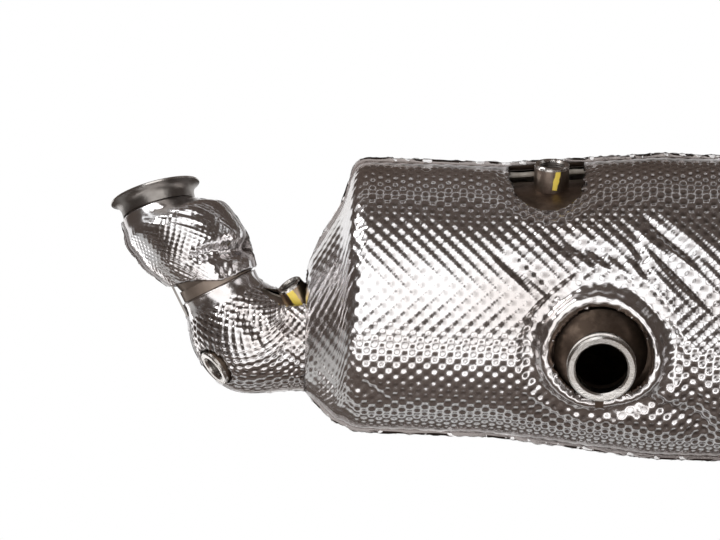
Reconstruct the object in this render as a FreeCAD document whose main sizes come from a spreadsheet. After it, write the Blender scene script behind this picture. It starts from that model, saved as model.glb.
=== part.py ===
import FreeCAD, Part
import math
import os

import Sketcher

# Close-coupled exhaust after-treatment unit of a car engine. A V-band inlet leads down a
# short pipe and an elbow into the offset inlet cone of a steel can. The can holds an
# oxidation brick and a particle filter, with a take-off port between them, and three
# threaded sensor bosses. Fibre pads and pressed foil clamshells cover it all.
#
# Frame: origin at the centre of the inlet sealing face, +X along the can towards the
# outlet, +Z up. The port looks towards -Y.

Vector = FreeCAD.Vector
Rotation = FreeCAD.Rotation
Placement = FreeCAD.Placement
X_AXIS = Vector(1, 0, 0)
Y_AXIS = Vector(0, 1, 0)
Z_AXIS = Vector(0, 0, 1)

doc = FreeCAD.newDocument("CatalyticConverter")
sheet = doc.addObject("Spreadsheet::Sheet", "Sizes")

# ---------------------------------------------------------------------------
# Driving dimensions, in millimetres and degrees: alias, value, what it is.
# ---------------------------------------------------------------------------
SIZES = [
    ("foil", 1.0, "thickness of an embossed foil shield, over its bumps"),
    ("steel", 1.5, "wall of the pipes, cones and can"),
    ("slip_gap", 0.1, "clearance of one tube slipped into another"),
    ("pad_gap", 0.3, "clearance between a fibre pad and its shield"),
    ("elbow_wrap", 5.4, "thickness of the fibre wrap round the elbow"),
    ("seat_gap", 0.3, "clearance where one shield closes on another or on the outlet"),
    ("seam_width", 5.0, "width of the lips where two shield halves meet"),
    ("can_left", 140.0, "X of the left shoulder of the can"),
    ("can_depth", -20.0, "Y of the can's axis"),
    ("can_height", -73.5, "Z of the can's axis at the shoulder"),
    ("can_droop", 2.2, "how far the can's axis dips towards the outlet, degrees"),
    ("cone_seam", 5.0, "where the inlet cone meets the can, from the shoulder"),
    ("can_length", 322.0, "steel can from cone to cone"),
    ("can_small", 84.0, "outer radius of the can round the oxidation brick"),
    ("can_large", 94.0, "outer radius of the can round the filter"),
    ("can_swell_start", 108.0, "where the can starts to widen"),
    ("swell_gap", 4.0, "how far before the filter the can reaches its large radius"),
    ("shield_small", 95.0, "shield radius at the left shoulder"),
    ("shield_large", 106.0, "shield radius over the filter"),
    ("shoulder_drop", 6.0, "how far the shoulder's rounding comes in"),
    ("brick_small", 80.0, "radius of the oxidation brick"),
    ("brick_small_start", 12.0, "its front face"),
    ("brick_small_length", 104.0, "its length"),
    ("brick_large", 88.0, "radius of the filter brick"),
    ("brick_large_length", 94.0, "its length"),
    ("brick_end_gap", 7.0, "from the filter brick to the end of the can"),
    ("brick_face_gap", 4.0, "how far each mat stops short of its brick's faces"),
    ("outlet_cone_length", 34.0, "steel outlet cone"),
    ("outlet_radius", 32.0, "outer radius of the outlet pipe"),
    ("outlet_length", 36.0, "outlet pipe beyond its cone"),
    ("outlet_flange_radius", 44.0, "outlet flange"),
    ("outlet_flange_thick", 8.0, "its thickness"),
    ("pipe_radius", 25.0, "outer radius of the inlet pipe and elbow"),
    ("flange_radius", 33.0, "V-band rim of the inlet"),
    ("flange_rim", 3.2, "thickness of the rim"),
    ("flange_neck", 13.0, "length of the inlet flange with its neck"),
    ("flange_seat", 6.0, "depth at which the inlet pipe butts in that neck"),
    ("inlet_lean", 16.0, "how far the inlet leans towards -X, degrees"),
    ("inlet_tip", 14.0, "how far the inlet leans towards +Y, degrees"),
    ("elbow_bend", 60.0, "centreline radius of the elbow"),
    ("elbow_tail", 18.0, "straight length after the bend"),
    ("socket_length", 9.0, "belled socket of the elbow round the inlet pipe"),
    ("port_setback", 46.0, "take-off port ahead of the filter brick"),
    ("port_angle", -20.0, "port above the horizontal, degrees"),
    ("port_face", 128.0, "its sealing face, out from the can's axis"),
    ("port_flange_radius", 24.5, "machined ring of the port"),
    ("port_flange_thick", 10.0, "its length"),
    ("port_bore", 18.5, "radius of the port's bore"),
    ("port_ring_step", 1.25, "bevels and clamp groove of that ring"),
    ("port_neck_radius", 21.5, "drawn neck under the ring"),
    ("port_neck_straight", 9.0, "its straight length before it flares"),
    ("port_foot_radius", 33.0, "foot of the drawn neck on the can"),
    ("port_skirt", 9.0, "how far that foot reaches below the can's small radius"),
    ("port_hole", 35.0, "hole in the shield round the port"),
    ("boss_radius", 12.5, "outer radius of the can's sensor boss"),
    ("boss_bore", 8.25, "bore that takes an M18 x 1.5 thread"),
    ("boss_chamfer", 1.5, "chamfer at a boss's mouth"),
    ("boss_setback", 84.0, "can boss ahead of the filter brick"),
    ("boss_angle", 72.0, "can boss above the horizontal, degrees"),
    ("boss_face", 104.5, "its mouth, out from the can's axis"),
    ("notch_radius", 28.0, "notch in the front shield round the can boss"),
    ("notch_height", 93.0, "centre of that notch above the can's axis"),
    ("elbow_boss_radius", 13.8, "outer radius of the elbow's sensor boss"),
    ("elbow_boss_x", 43.0, "X of its mouth"),
    ("elbow_boss_y", -35.5, "Y of its mouth"),
    ("elbow_boss_z", -127.0, "Z of its mouth"),
    ("elbow_boss_lean", -52.06, "its outward lean from straight down towards +X, degrees"),
    ("elbow_boss_tip", 18.48, "and its tip towards -Y, degrees"),
    ("cone_boss_mouth", 9.5, "radius of the inlet cone's boss at its mouth"),
    ("cone_boss_foot", 12.5, "and at its foot"),
    ("cone_boss_bore", 6.25, "bore of that boss, which takes an M14 x 1.5 thread"),
    ("cone_boss_x", 97.0, "X of its mouth"),
    ("cone_boss_y", -36.0, "Y of its mouth"),
    ("cone_boss_z", -66.0, "Z of its mouth"),
    ("cone_boss_lean", -145.31, "its outward lean from straight down towards +X, degrees"),
    ("cone_boss_tip", 17.55, "and its tip towards -Y, degrees"),
    ("boss_reach", 35.0, "length of a boss before its foot is saddled to the steel"),
    ("cone_boss_reach", 31.0, "the same for the inlet cone's boss"),
    ("boss_clearance", 3.0, "gap between a boss and the shield's hole"),
    ("cone_clearance", 3.8, "the same round the inlet cone's boss"),
    ("hole_reach", 70.0, "length of a tool that opens a shield"),
    ("strap_width", 7.0, "strap between the two inlet shields"),
    ("strap_length", 27.0, "its length"),
    ("strap_thick", 1.4, "its thickness"),
    ("nib_width", 6.0, "locating nib under the port's ring"),
    ("nib_thick", 3.0, "its thickness"),
    ("nib_reach", 33.0, "its tip, from the port's axis"),
    ("cover_end_radius", 46.0, "shield's end round the outlet pipe"),
    ("cuff_length", 9.0, "plain cuff at the mouth of the elbow's shield"),
    ("cuff_lift", 3.6, "how far the cuff's end stands off the pipe"),
    ("elbow_overlap", 15.0, "how far the elbow's shield runs into the can's"),
]

# What follows from those sizes.
DERIVED = [
    ("filter_start", "=cone_seam + can_length - brick_end_gap - brick_large_length",
     "front face of the filter brick"),
    ("can_swell_end", "=filter_start - swell_gap", "where the can reaches its large radius"),
    ("port_x", "=filter_start - port_setback", "take-off port along the can"),
    ("boss_x", "=filter_start - boss_setback", "can boss along the can"),
]

# Stations along a run: place, heading, and how far the shield stands off the pipe there.
# The heading is given by the lean from straight down towards +X and the tip from that
# towards -Y. The elbow lies in the can's own plane.
STATIONS = [
    # name, x, y, z, lean, tip, lift
    ("pipe_bend", 16.0, -8.0, -27.0, 30.0, 13.0, 0.0),
    ("pipe_belly", 30.0, -14.0, -46.0, 32.0, 10.0, 0.0),
    ("cover_neck", 3.6, -3.3, -13.4, 18.0, 14.0, 2.5),
    ("cover_shoulder", 17.0, -9.0, -25.0, 24.0, 12.0, 13.0),
    ("cover_belly", 31.0, -14.5, -45.0, 18.0, 8.0, 13.5),
    ("cover_foot", 42.0, -18.5, -61.0, 13.0, 4.0, 6.0),
    ("elbow_mouth", 46.4, "=can_depth", -68.8, 26.4, 0.0, 2.9),
    ("elbow_throat", 60.0, "=can_depth", -93.0, 38.0, 0.0, 12.0),
    ("elbow_belly", 76.0, "=can_depth", -106.0, 57.0, 0.0, 16.0),
    ("elbow_heel", 94.0, "=can_depth", -105.2, 84.0, 0.0, 12.3),
    ("elbow_end", 105.0, "=can_depth", -104.0, 90.0, 0.0, 12.5),
]

# The can shield's end cone, in the can's own frame: along, above the axis, radius.
END_CONE = [
    ("end_shoulder", 0.5, 0.0, 90.5),
    ("end_upper", -6.0, -12.5, 77.0),
    ("end_middle", -14.0, -16.0, 66.0),
    ("end_lower", -21.5, -19.5, 56.0),
    ("end_edge", -30.0, -24.0, 46.5),
]

rows = SIZES + DERIVED
for name, *numbers in STATIONS:
    for field, value in zip(("x", "y", "z", "lean", "tip", "lift"), numbers):
        rows.append((f"{name}_{field}", value, "station of a run"))
for name, *numbers in END_CONE:
    for field, value in zip(("along", "rise", "radius"), numbers):
        rows.append((f"{name}_{field}", value, "ring of the can shield's end cone"))
for row, (alias, value, note) in enumerate(rows, start=1):
    sheet.set(f"A{row}", alias)
    sheet.set(f"B{row}", str(value))
    sheet.set(f"C{row}", note)
    sheet.setAlias(f"B{row}", alias)
doc.recompute()


def size(alias):
    """A driving dimension as a number."""
    return float(sheet.get(alias))


# ---------------------------------------------------------------------------
# Frames
# ---------------------------------------------------------------------------
def heading(lean, tip):
    """Unit vector straight down, leaned towards +X and then tipped towards -Y."""
    lean, tip = math.radians(lean), math.radians(tip)
    return Vector(math.sin(lean) * math.cos(tip), -math.sin(tip), -math.cos(lean) * math.cos(tip))


def facing(point, direction):
    """A placement at point whose own Z looks along direction."""
    return Placement(point, Rotation(Z_AXIS, direction))


CAN = Placement(Vector(size("can_left"), size("can_depth"), size("can_height")),
                Rotation(Y_AXIS, size("can_droop")))
INLET_DOWN = heading(size("inlet_lean"), size("inlet_tip"))


def radial(along, angle):
    """A placement on the can's axis whose own Z looks outwards at an angle above -Y."""
    angle = math.radians(angle)
    outward = Vector(0, -math.cos(angle), math.sin(angle))
    return CAN.multiply(Placement(Vector(along, 0, 0), Rotation(Z_AXIS, outward)))


def aimed(name):
    """A named place on the sheet and the heading there."""
    point = Vector(*(size(f"{name}_{axis}") for axis in "xyz"))
    return point, heading(size(f"{name}_lean"), size(f"{name}_tip"))


def station(name):
    """The ring of one station: place, heading and radius."""
    return *aimed(name), size("pipe_radius") + size(f"{name}_lift")


MOUTH, MOUTH_DOWN = aimed("elbow_mouth")
PORT = radial(size("port_x"), size("port_angle"))
CAN_BOSS = radial(size("boss_x"), size("boss_angle"))
ELBOW_BOSS = facing(*aimed("elbow_boss"))
CONE_BOSS = facing(*aimed("cone_boss"))


# ---------------------------------------------------------------------------
# Building blocks
# ---------------------------------------------------------------------------
def part_object(kind, name, placement=None, **properties):
    """A Part object whose numeric properties are bound to expressions on the sheet."""
    item = doc.addObject(kind, name)
    for key, expression in properties.items():
        item.setExpression(key, expression)
    if placement is not None:
        item.Placement = placement
    return item


def cylinder(name, radius, length, placement, back=0.0):
    """A cylinder along its placement's Z, started some way back along it."""
    moved = placement.multiply(Placement(Vector(0, 0, -back), Rotation()))
    return part_object("Part::Cylinder", name, moved, Radius=radius, Height=length)


def cut(name, base, *tools):
    """The base less each tool, one cut after another."""
    for number, tool in enumerate(tools, start=1):
        item = doc.addObject("Part::Cut", name if number == len(tools) else f"{name}_{number}")
        item.Base = base
        item.Tool = tool
        base = item
    return base


def fuse(name, *shapes):
    item = doc.addObject("Part::MultiFuse", name)
    item.Shapes = list(shapes)
    return item


def turned(name, points, placement, axis="H_Axis"):
    """A turned piece: a closed half profile, its corners bound to the sheet, revolved
    about its own X axis (H_Axis) or Z axis (V_Axis)."""
    body = doc.addObject("PartDesign::Body", name)
    sketch = body.newObject("Sketcher::SketchObject", f"{name}_profile")
    plane = next(item for item in body.Origin.OriginFeatures if item.Role == "XZ_Plane")
    sketch.AttachmentSupport = [(plane, "")]
    sketch.MapMode = "FlatFace"
    count = len(points)
    spread = [Vector(math.cos(math.tau * i / count), math.sin(math.tau * i / count), 0)
              for i in range(count)]
    for i in range(count):
        sketch.addGeometry(Part.LineSegment(spread[i], spread[(i + 1) % count]), False)
    for i in range(count):
        sketch.addConstraint(Sketcher.Constraint("Coincident", i, 2, (i + 1) % count, 1))
    for i, corner in enumerate(points):
        for kind, expression, start in zip(("DistanceX", "DistanceY"), corner, spread[i]):
            index = sketch.addConstraint(Sketcher.Constraint(kind, -1, 1, i, 1, start))
            sketch.setExpression(f"Constraints[{index}]", expression)
    turn = body.newObject("PartDesign::Revolution", f"{name}_turn")
    turn.Profile = sketch
    turn.ReferenceAxis = (sketch, [axis])
    turn.Angle = 360
    body.Placement = placement
    return body


SEAM_TURN = Placement(Vector(0, 0, 0), Rotation(Z_AXIS, 50))


def ring(name, placement, radius):
    """One circular section of a loft. Its start is turned away from the parting plane."""
    return part_object("Part::Circle", name, placement.multiply(SEAM_TURN), Radius=radius)


def loft(name, sections):
    item = doc.addObject("Part::Loft", name)
    item.Sections = sections
    item.Solid = True
    item.Ruled = False
    return item


parts = {}


def keep(node, item):
    """Name a finished sub-part after its node."""
    item.Label = node
    parts[node] = item
    return item


# ---------------------------------------------------------------------------
# Half sections: a ring is a centre, the run's direction there and an outside radius.
# The halves part along the line that lies level with the run's own plane.
# ---------------------------------------------------------------------------
SIDES = {"front": -1, "rear": 1}


def section_axes(direction, side):
    """Unit vectors along the parting line and from it out into one half."""
    along = direction.cross(Y_AXIS).normalize()
    return along, along.cross(direction).normalize() * SIDES[side]


def shield_section(ring_here, side):
    """Closed outline of one half of a shield: an arch of foil with a flat lip each side."""
    centre, direction, radius = ring_here
    along, out = section_axes(direction, side)
    foil, lip = size("foil"), radius + size("seam_width")
    bore = radius - foil
    foot = math.sqrt(radius ** 2 - foil ** 2)
    corners = [(-bore, 0), (-lip, 0), (-lip, foil), (-foot, foil)]

    def at(across, height):
        return centre + along * across + out * height

    left = [at(across, height) for across, height in corners]
    right = [at(-across, height) for across, height in reversed(corners)]
    edges = [Part.makeLine(start, end) for start, end in zip(left, left[1:])]
    edges.append(Part.Arc(left[-1], at(0, radius), right[0]).toShape())
    edges += [Part.makeLine(start, end) for start, end in zip(right, right[1:])]
    edges.append(Part.Arc(right[-1], at(0, bore), left[0]).toShape())
    return Part.Wire(edges)


def pad_section(ring_here, side):
    """Closed outline of half the space inside a shield, where a fibre pad lies."""
    centre, direction, radius = ring_here
    along, out = section_axes(direction, side)
    fill = radius - size("foil") - size("pad_gap")
    left, right = centre - along * fill, centre + along * fill
    return Part.Wire([Part.makeLine(right, left), Part.Arc(left, centre + out * fill, right).toShape()])


def eased(rings, steps):
    """The rings with more between them, so that straight spans follow a smooth run."""
    def blend(before, start, end, after, share):
        square, cube = share ** 2, share ** 3
        return (start * (1 - 3 * square + 2 * cube) + end * (3 * square - 2 * cube)
                + (end - before) * ((share - 2 * square + cube) / 2)
                + (after - start) * ((cube - square) / 2))

    result = []
    for number, (start, end) in enumerate(zip(rings, rings[1:])):
        before = rings[max(number - 1, 0)]
        after = rings[min(number + 2, len(rings) - 1)]
        for step in range(steps):
            centre, direction, radius = (blend(*values, step / steps)
                                         for values in zip(before, start, end, after))
            result.append((centre, direction.normalize(), radius))
    return result + [rings[-1]]


def half_loft(name, outline, rings, side):
    """Straight spans through one kind of half section at every ring."""
    sections = []
    for number, ring_here in enumerate(rings):
        section = doc.addObject("Part::Feature", f"{name}_section_{number}")
        section.Shape = outline(ring_here, side)
        sections.append(section)
    item = doc.addObject("Part::Loft", name)
    item.Sections = sections
    item.Solid = True
    item.Ruled = True
    return item


# ---------------------------------------------------------------------------
# Steel: inlet flange, inlet pipe and elbow
# ---------------------------------------------------------------------------
INLET = facing(Vector(0, 0, 0), INLET_DOWN.negative())

STEEL_IN = "Sizes.pipe_radius - Sizes.steel"
SOCKET_IN = "Sizes.pipe_radius + Sizes.slip_gap"
SOCKET_OUT = f"{SOCKET_IN} + Sizes.steel"

keep("inlet_flange", turned("inlet_flange_body", [
    (STEEL_IN, "0"),
    ("Sizes.flange_radius", "0"),
    ("Sizes.flange_radius", "-Sizes.flange_rim"),
    (f"{SOCKET_OUT} + Sizes.steel", "-Sizes.flange_neck"),
    (SOCKET_IN, "-Sizes.flange_neck"),
    (SOCKET_IN, "-Sizes.flange_seat"),
    (STEEL_IN, "-Sizes.flange_seat"),
], INLET, axis="V_Axis"))

MOUTH_UP = facing(MOUTH, MOUTH_DOWN.negative())
MOUTH_DOWNWARD = facing(MOUTH, MOUTH_DOWN)
PIPE_START = facing(INLET_DOWN * size("flange_neck"), INLET_DOWN.negative())
PIPE_END = facing(MOUTH - MOUTH_DOWN * size("socket_length"), MOUTH_DOWN.negative())


def pipe_place(name):
    """Where the inlet pipe passes a station, looking upstream."""
    point, down, _ = station(name)
    return facing(point, down.negative())


def inlet_run(name, radius):
    """The formed inlet pipe, or the space in it: two straight ends and the bend between."""
    bend = loft(f"{name}_bend", [
        ring(f"{name}_start", PIPE_START, radius),
        ring(f"{name}_upper", pipe_place("pipe_bend"), radius),
        ring(f"{name}_lower", pipe_place("pipe_belly"), radius),
        ring(f"{name}_end", PIPE_END, radius),
    ])
    head = cylinder(f"{name}_head", radius, "Sizes.flange_neck - Sizes.flange_seat", PIPE_START)
    tail = cylinder(f"{name}_tail", radius, "Sizes.socket_length", MOUTH_UP)
    return fuse(name, bend, head, tail)


inlet_run_outer = inlet_run("inlet_run_outer", "Sizes.pipe_radius")
inlet_run_inner = inlet_run("inlet_run_inner", STEEL_IN)
keep("inlet_pipe", cut("inlet_pipe_wall", inlet_run_outer, inlet_run_inner))


BEND_OUT = MOUTH_DOWN.cross(Y_AXIS).negative()
BEND_CENTRE = MOUTH - BEND_OUT * size("elbow_bend")
BEND = Placement(BEND_CENTRE, Rotation(BEND_OUT, Vector(), Y_AXIS.negative(), "ZXY"))
BEND_END = BEND_CENTRE - Z_AXIS * size("elbow_bend")
TAIL = BEND_END + X_AXIS * size("elbow_tail")
TAIL_BACK = facing(TAIL, X_AXIS.negative())


def elbow_run(name, radius):
    """The elbow, or the space in it: a bend down to level, then a straight tail."""
    bend = part_object("Part::Torus", f"{name}_bend", BEND, Radius1="Sizes.elbow_bend",
                       Radius2=radius, Angle3="90 - Sizes.elbow_mouth_lean")
    return fuse(name, bend, cylinder(f"{name}_tail", radius, "Sizes.elbow_tail", TAIL_BACK))


elbow_outer = elbow_run("elbow_outer", "Sizes.pipe_radius")
elbow_inner = elbow_run("elbow_inner", STEEL_IN)
bell_outer = cylinder("bell_outer", SOCKET_OUT, "Sizes.socket_length + Sizes.steel", MOUTH_UP,
                      back=size("steel"))
bell_inner = cylinder("bell_inner", SOCKET_IN, "Sizes.socket_length", MOUTH_UP)

# ---------------------------------------------------------------------------
# Steel: inlet cone, can and outlet, in the can's own frame
# ---------------------------------------------------------------------------
CAN_END = "(Sizes.cone_seam + Sizes.can_length)"
OUTLET_START = f"({CAN_END} + Sizes.outlet_cone_length)"
OUTLET_END = f"({OUTLET_START} + Sizes.outlet_length)"


def can_ring(name, along, rise, radius):
    """A circle across the can's axis, or level with it but raised; its Z looks upstream."""
    place = CAN.multiply(Placement(Vector(along, 0, rise), Rotation(Z_AXIS, X_AXIS.negative())))
    return ring(name, place, radius)


def inlet_cone_solid(name, extra):
    """The offset cone from the elbow's tail to the can, grown or shrunk by the steel."""
    shift = -extra * size("steel")
    small_radius = f"{SOCKET_OUT} + {extra} * Sizes.steel"
    large_radius = f"Sizes.can_small + {extra} * Sizes.steel"
    small = ring(f"{name}_small", facing(TAIL + X_AXIS * shift, X_AXIS.negative()), small_radius)
    large = can_ring(f"{name}_large", size("cone_seam") + shift, 0, large_radius)
    return loft(name, [small, large])


cone_outer = inlet_cone_solid("cone_outer", 0)
cone_inner = inlet_cone_solid("cone_inner", -1)
cone_socket = cylinder("cone_socket", SOCKET_OUT, "Sizes.socket_length", TAIL_BACK)
cone_socket_bore = cylinder("cone_socket_bore", SOCKET_IN, "Sizes.socket_length", TAIL_BACK)
cone_throat = cylinder("cone_throat", STEEL_IN, "3 * Sizes.steel", TAIL_BACK, back=2 * size("steel"))


def can_profile(inset, start, end):
    """Half profile of the stepped can between two stations, inset from its outside."""
    return [
        (start, "0"),
        (start, f"Sizes.can_small - {inset}"),
        ("Sizes.can_swell_start", f"Sizes.can_small - {inset}"),
        ("Sizes.can_swell_end", f"Sizes.can_large - {inset}"),
        (end, f"Sizes.can_large - {inset}"),
        (end, "0"),
    ]


can_solid = turned("can_solid", can_profile("0", "Sizes.cone_seam", CAN_END), CAN)
can_space = turned("can_space", can_profile("Sizes.steel", "Sizes.cone_seam", CAN_END), CAN)

outlet_cone = turned("outlet_cone_body", [
    (CAN_END, "Sizes.can_large - Sizes.steel"),
    (CAN_END, "Sizes.can_large"),
    (OUTLET_START, "Sizes.outlet_radius + Sizes.steel"),
    (f"{OUTLET_START} + Sizes.socket_length", "Sizes.outlet_radius + Sizes.steel"),
    (f"{OUTLET_START} + Sizes.socket_length", "Sizes.outlet_radius"),
    (OUTLET_START, "Sizes.outlet_radius"),
    (f"{OUTLET_START} - Sizes.steel", "Sizes.outlet_radius"),
], CAN)
keep("outlet_cone", outlet_cone)
keep("outlet_pipe", turned("outlet_pipe_body", [
    (OUTLET_START, "Sizes.outlet_radius - Sizes.steel"),
    (OUTLET_START, "Sizes.outlet_radius"),
    (OUTLET_END, "Sizes.outlet_radius"),
    (OUTLET_END, "Sizes.outlet_radius - Sizes.steel"),
], CAN))
keep("outlet_flange", turned("outlet_flange_body", [
    (f"{OUTLET_END} - Sizes.outlet_flange_thick", "Sizes.outlet_radius"),
    (f"{OUTLET_END} - Sizes.outlet_flange_thick", "Sizes.outlet_flange_radius"),
    (OUTLET_END, "Sizes.outlet_flange_radius"),
    (OUTLET_END, "Sizes.outlet_radius"),
], CAN))
outlet_solid = turned("outlet_solid", [
    (CAN_END, "0"),
    (CAN_END, "Sizes.can_large"),
    (OUTLET_START, "Sizes.outlet_radius + Sizes.steel"),
    (OUTLET_END, "Sizes.outlet_radius + Sizes.steel"),
    (OUTLET_END, "0"),
], CAN)


def brick(stem, node, start, length, radius, shell):
    """A monolith in its mat: the mat fills the can's wall to the brick, short of its ends."""
    keep(f"{node}_brick", turned(f"{stem}_brick_body", [
        (start, "0"),
        (start, radius),
        (f"{start} + {length}", radius),
        (f"{start} + {length}", "0"),
    ], CAN))
    mat_start = f"{start} + Sizes.brick_face_gap"
    mat_end = f"{start} + {length} - Sizes.brick_face_gap"
    keep(f"{node}_mat", turned(f"{stem}_mat_body", [
        (mat_start, radius),
        (mat_start, f"{shell} - Sizes.steel"),
        (mat_end, f"{shell} - Sizes.steel"),
        (mat_end, radius),
    ], CAN))


brick("small", "oxidation", "Sizes.brick_small_start", "Sizes.brick_small_length",
      "Sizes.brick_small", "Sizes.can_small")
brick("large", "filter", "Sizes.filter_start", "Sizes.brick_large_length",
      "Sizes.brick_large", "Sizes.can_large")

# ---------------------------------------------------------------------------
# Steel: take-off port and sensor bosses
# ---------------------------------------------------------------------------
PORT_RING_BACK = "(Sizes.port_face - Sizes.port_flange_thick)"
PORT_SKIRT_END = "Sizes.can_small - Sizes.port_skirt"
port_neck_body = turned("port_neck_body", [
    ("Sizes.port_neck_radius - Sizes.steel", PORT_RING_BACK),
    ("Sizes.port_neck_radius", PORT_RING_BACK),
    ("Sizes.port_neck_radius", f"{PORT_RING_BACK} - Sizes.port_neck_straight"),
    ("Sizes.port_foot_radius", "Sizes.can_large + Sizes.steel"),
    ("Sizes.port_foot_radius", PORT_SKIRT_END),
    ("Sizes.port_foot_radius - Sizes.steel", PORT_SKIRT_END),
    ("Sizes.port_foot_radius - Sizes.steel", "Sizes.can_large"),
    ("Sizes.port_neck_radius - Sizes.steel", f"{PORT_RING_BACK} - Sizes.port_neck_straight - Sizes.steel"),
], PORT, axis="V_Axis")
keep("port_neck", cut("port_neck_saddled", port_neck_body, can_solid))

RING_EDGE = "Sizes.port_ring_step"
keep("port_flange", turned("port_flange_body", [
    (f"Sizes.port_bore + {RING_EDGE}", "Sizes.port_face"),
    (f"Sizes.port_flange_radius - {RING_EDGE}", "Sizes.port_face"),
    ("Sizes.port_flange_radius", f"Sizes.port_face - {RING_EDGE}"),
    ("Sizes.port_flange_radius", f"Sizes.port_face - 3 * {RING_EDGE}"),
    (f"Sizes.port_flange_radius - 2 * {RING_EDGE}", f"Sizes.port_face - 4 * {RING_EDGE}"),
    (f"Sizes.port_flange_radius - 2 * {RING_EDGE}", f"Sizes.port_face - 5 * {RING_EDGE}"),
    ("Sizes.port_flange_radius", f"Sizes.port_face - 6 * {RING_EDGE}"),
    ("Sizes.port_flange_radius", PORT_RING_BACK),
    ("Sizes.port_bore", PORT_RING_BACK),
    ("Sizes.port_bore", f"Sizes.port_face - {RING_EDGE}"),
], PORT, axis="V_Axis"))

nib_blank = part_object("Part::Box", "nib_blank", Length="Sizes.nib_width",
                        Width="Sizes.nib_reach", Height="Sizes.nib_thick")
nib_blank.Placement = PORT.multiply(Placement(
    Vector(-size("nib_width") / 2, -size("nib_reach"),
           size("port_face") - size("port_flange_thick") - size("nib_thick")), Rotation()))
neck_post = cylinder("neck_post", "Sizes.port_neck_radius", "Sizes.port_face", PORT)
keep("port_nib", cut("port_nib_fitted", nib_blank, neck_post))


def boss(stem, place, mouth, foot, bore, reach, *seats):
    """A threaded boss from its mouth down to the steel it is welded to. The place is at
    its mouth, looking out."""
    body = turned(f"{stem}_body", [
        (bore, f"-{reach}"),
        (bore, "-Sizes.boss_chamfer"),
        (f"{bore} + Sizes.boss_chamfer", "0"),
        (f"{mouth} - Sizes.boss_chamfer", "0"),
        (mouth, "-Sizes.boss_chamfer"),
        (foot, f"-{reach}"),
    ], place, axis="V_Axis")
    return keep(stem, cut(f"{stem}_saddled", body, *seats))


def moved_out(place, distance):
    return place.multiply(Placement(Vector(0, 0, distance), Rotation()))


CAN_BOSS_MOUTH = moved_out(CAN_BOSS, size("boss_face"))
boss("can_sensor_boss", CAN_BOSS_MOUTH, "Sizes.boss_radius", "Sizes.boss_radius",
     "Sizes.boss_bore", "Sizes.boss_reach", can_solid)
boss("elbow_sensor_boss", ELBOW_BOSS, "Sizes.elbow_boss_radius", "Sizes.elbow_boss_radius",
     "Sizes.boss_bore", "Sizes.boss_reach", elbow_outer)
boss("cone_sensor_boss", CONE_BOSS, "Sizes.cone_boss_mouth", "Sizes.cone_boss_foot",
     "Sizes.cone_boss_bore", "Sizes.cone_boss_reach", elbow_outer, cone_socket, cone_outer)


def bore_tool(stem, place, bore):
    """The drilling through the steel under a boss."""
    return cylinder(f"{stem}_drill", bore, "Sizes.boss_reach", place, back=size("boss_reach"))


elbow_drill = bore_tool("elbow_boss", ELBOW_BOSS, "Sizes.boss_bore")
cone_drill = bore_tool("cone_boss", CONE_BOSS, "Sizes.cone_boss_bore")
can_drill = bore_tool("can_boss", CAN_BOSS_MOUTH, "Sizes.boss_bore")
port_drill = cylinder("port_drill", "Sizes.port_foot_radius - Sizes.steel", "Sizes.port_face", PORT)

keep("elbow_pipe", cut("elbow_pipe_wall", fuse("elbow_blank", elbow_outer, bell_outer),
                       elbow_inner, bell_inner, elbow_drill, cone_drill))
keep("inlet_cone", cut("inlet_cone_wall", fuse("cone_blank", cone_outer, cone_socket),
                       cone_inner, cone_socket_bore, cone_throat, cone_drill))
keep("can_shell", cut("can_wall", can_solid, can_space, port_drill, can_drill))

# ---------------------------------------------------------------------------
# Foil shields: three clamshells
# ---------------------------------------------------------------------------
SPAN_COUNT = 3                  # straight spans from one station to the next
INLET_RINGS = eased([station(name) for name in
                     ("cover_neck", "cover_shoulder", "cover_belly", "cover_foot")], SPAN_COUNT)
CUFF_RADIUS = size("pipe_radius") + size("cuff_lift")
CUFF_END = (MOUTH + MOUTH_DOWN * size("cuff_length"), MOUTH_DOWN, CUFF_RADIUS)
ELBOW_END, ELBOW_END_WAY, ELBOW_END_RADIUS = station("elbow_end")
ELBOW_RINGS = [
    station("elbow_mouth"),
    *eased([CUFF_END, *(station(name) for name in
                        ("elbow_throat", "elbow_belly", "elbow_heel", "elbow_end"))], SPAN_COUNT),
    (ELBOW_END + ELBOW_END_WAY * size("elbow_overlap"), ELBOW_END_WAY, ELBOW_END_RADIUS),
]


def can_station(along, rise, radius):
    """A ring square to the can's axis, at or above it."""
    return CAN.multVec(Vector(along, 0, rise)), CAN.Rotation.multVec(X_AXIS), radius


def can_rings():
    """The can shield from its inturned edge on the elbow shield, over the oblique end cone
    and the shoulder, along the swelling body and down to the outlet."""
    can_end = size("cone_seam") + size("can_length")
    outlet = can_end + size("outlet_cone_length")
    drop = size("shoulder_drop")
    seat = size("foil") + size("seat_gap")
    edge = Vector(CAN.multVec(Vector(size("end_edge_along"), 0, 0)).x - size("foil"),
                  size("can_depth"), size("elbow_end_z"))
    rings = [(edge, X_AXIS, ELBOW_END_RADIUS + seat)]
    rings += [can_station(*(size(f"{name}_{field}") for field in ("along", "rise", "radius")))
              for name, *_ in reversed(END_CONE)]
    body = [
        (drop, size("shield_small")),
        (size("can_swell_start"), size("shield_small")),
        (size("can_swell_end"), size("shield_large")),
        (can_end - drop, size("shield_large")),
        (can_end + drop, size("shield_large") - drop),
        (outlet, size("cover_end_radius")),
        (outlet + drop / 2, size("outlet_radius") + size("steel") + seat),
    ]
    return rings + [can_station(along, 0, radius) for along, radius in body]


CAN_RINGS = can_rings()


def hole_tool(stem, place, radius, clearance):
    """A round hole through a shield about a boss, from outside it to below its steel."""
    return cylinder(f"{stem}_hole", f"{radius} + {clearance}", "Sizes.hole_reach", place,
                    back=size("hole_reach") / 2)


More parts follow.
